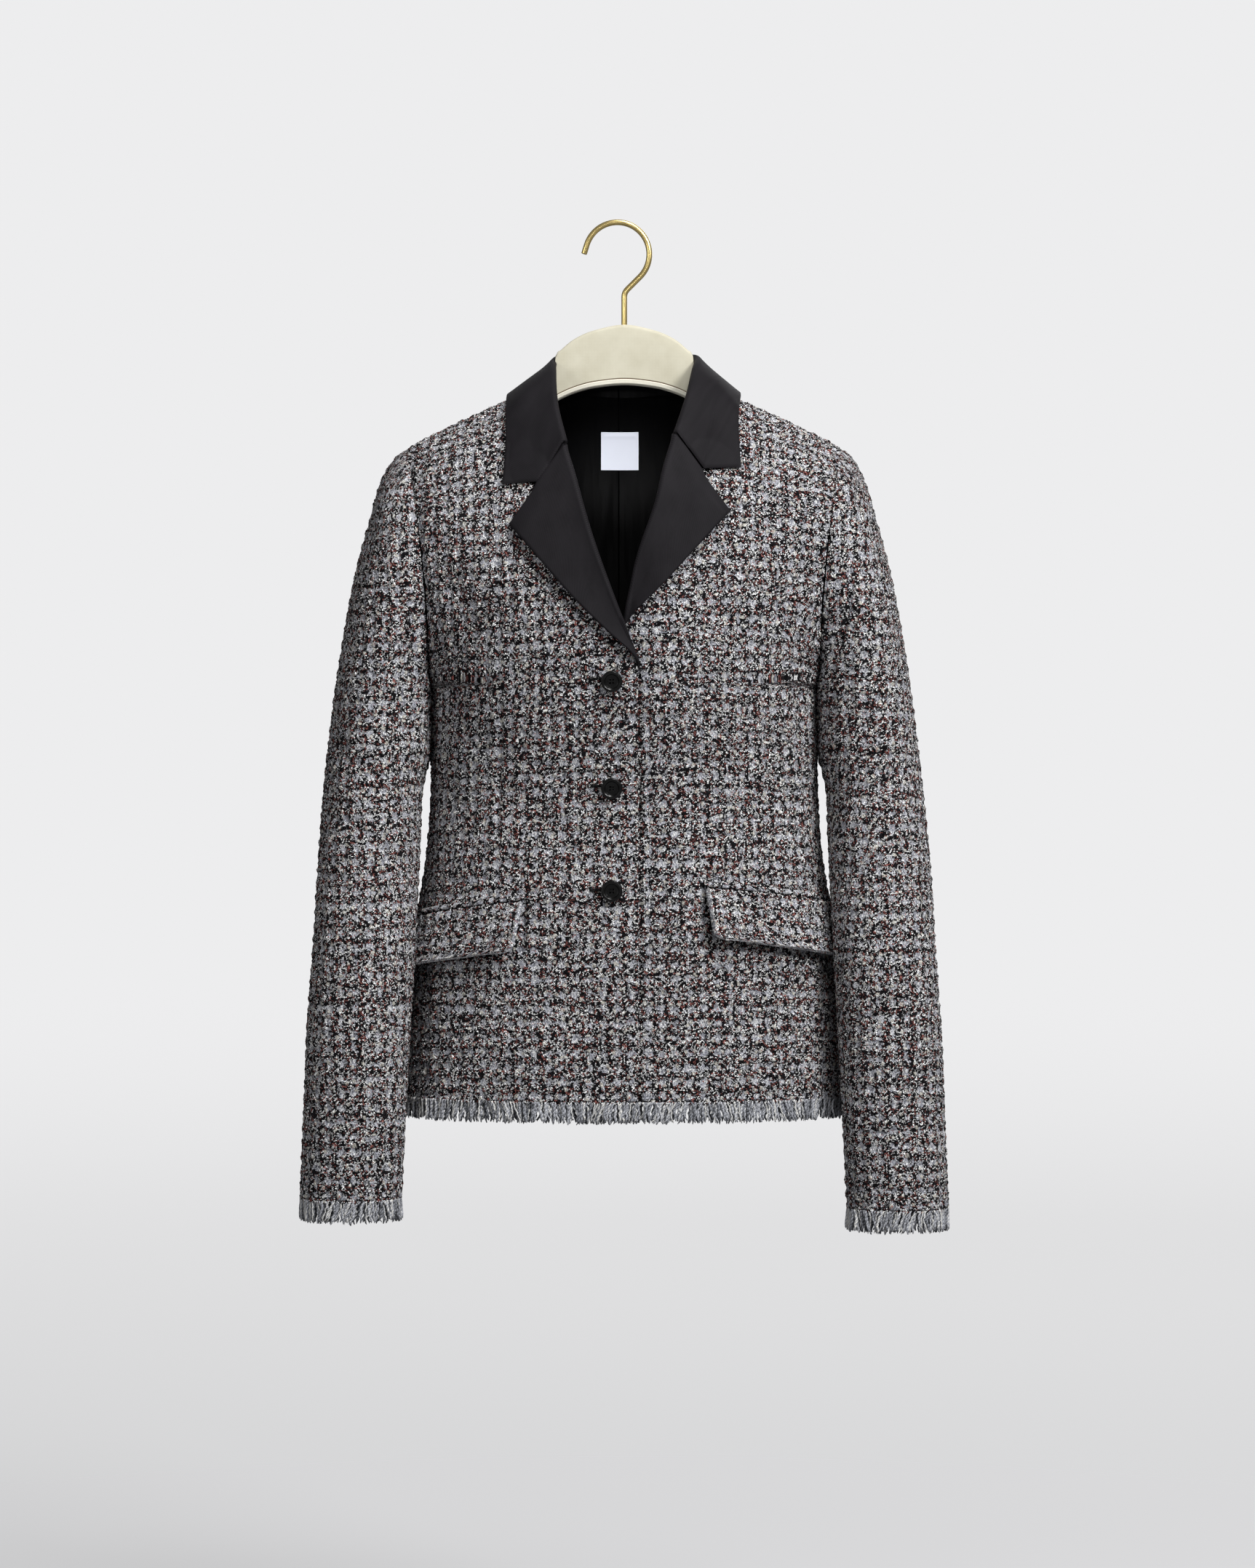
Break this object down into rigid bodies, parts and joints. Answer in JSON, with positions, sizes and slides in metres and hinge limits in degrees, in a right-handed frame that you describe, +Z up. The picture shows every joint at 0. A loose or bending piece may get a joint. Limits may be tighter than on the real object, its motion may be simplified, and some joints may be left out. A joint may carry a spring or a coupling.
{
  "type": "cropped tweed jacket on a coat hanger",
  "caption": "Cropped tweed jacket with a notched satin collar, flap pockets and fringed edges, hung on a cloth-covered hanger with a wire hook.",
  "frame": {"origin": "inside of the hook's bend, straight above its stem, where a rail carries the hanger", "axes": "+Z up, the jacket's front towards -Y, +X to the wearer's left"},
  "size_m": [0.5336, 0.2032, 0.8416],
  "materials": {
    "tweed": "looped wool tweed in grey, black and white, with metallic thread",
    "satin": "black satin-backed twill with a soft sheen",
    "lining": "smooth black lining",
    "label": "plain woven white, blank",
    "button": "black, satin polished",
    "hanger_cloth": "cream cloth over wood",
    "hook_wire": "polished"
  },
  "bodies": {
    "root": {"back_fringe": "tweed", "bottom_button": "button", "collar": "satin", "collar_stand": "satin", "hanger": "hanger_cloth", "hook": "hook_wire", "left_back": "tweed", "left_back_lining": "lining", "left_cuff_fringe": "tweed", "left_front": "tweed", "left_front_fringe": "tweed", "left_lapel": "satin", "left_pocket_flap": "tweed", "left_pocket_welt": "tweed", "left_under_sleeve": "tweed", "left_upper_sleeve": "tweed", "middle_button": "button", "neck_label": "label", "right_back": "tweed", "right_back_lining": "lining", "right_cuff_fringe": "tweed", "right_front": "tweed", "right_front_fringe": "tweed", "right_lapel": "satin", "right_pocket_flap": "tweed", "right_pocket_welt": "tweed", "right_under_sleeve": "tweed", "right_upper_sleeve": "tweed", "top_button": "button"}
  },
  "joints": []
}
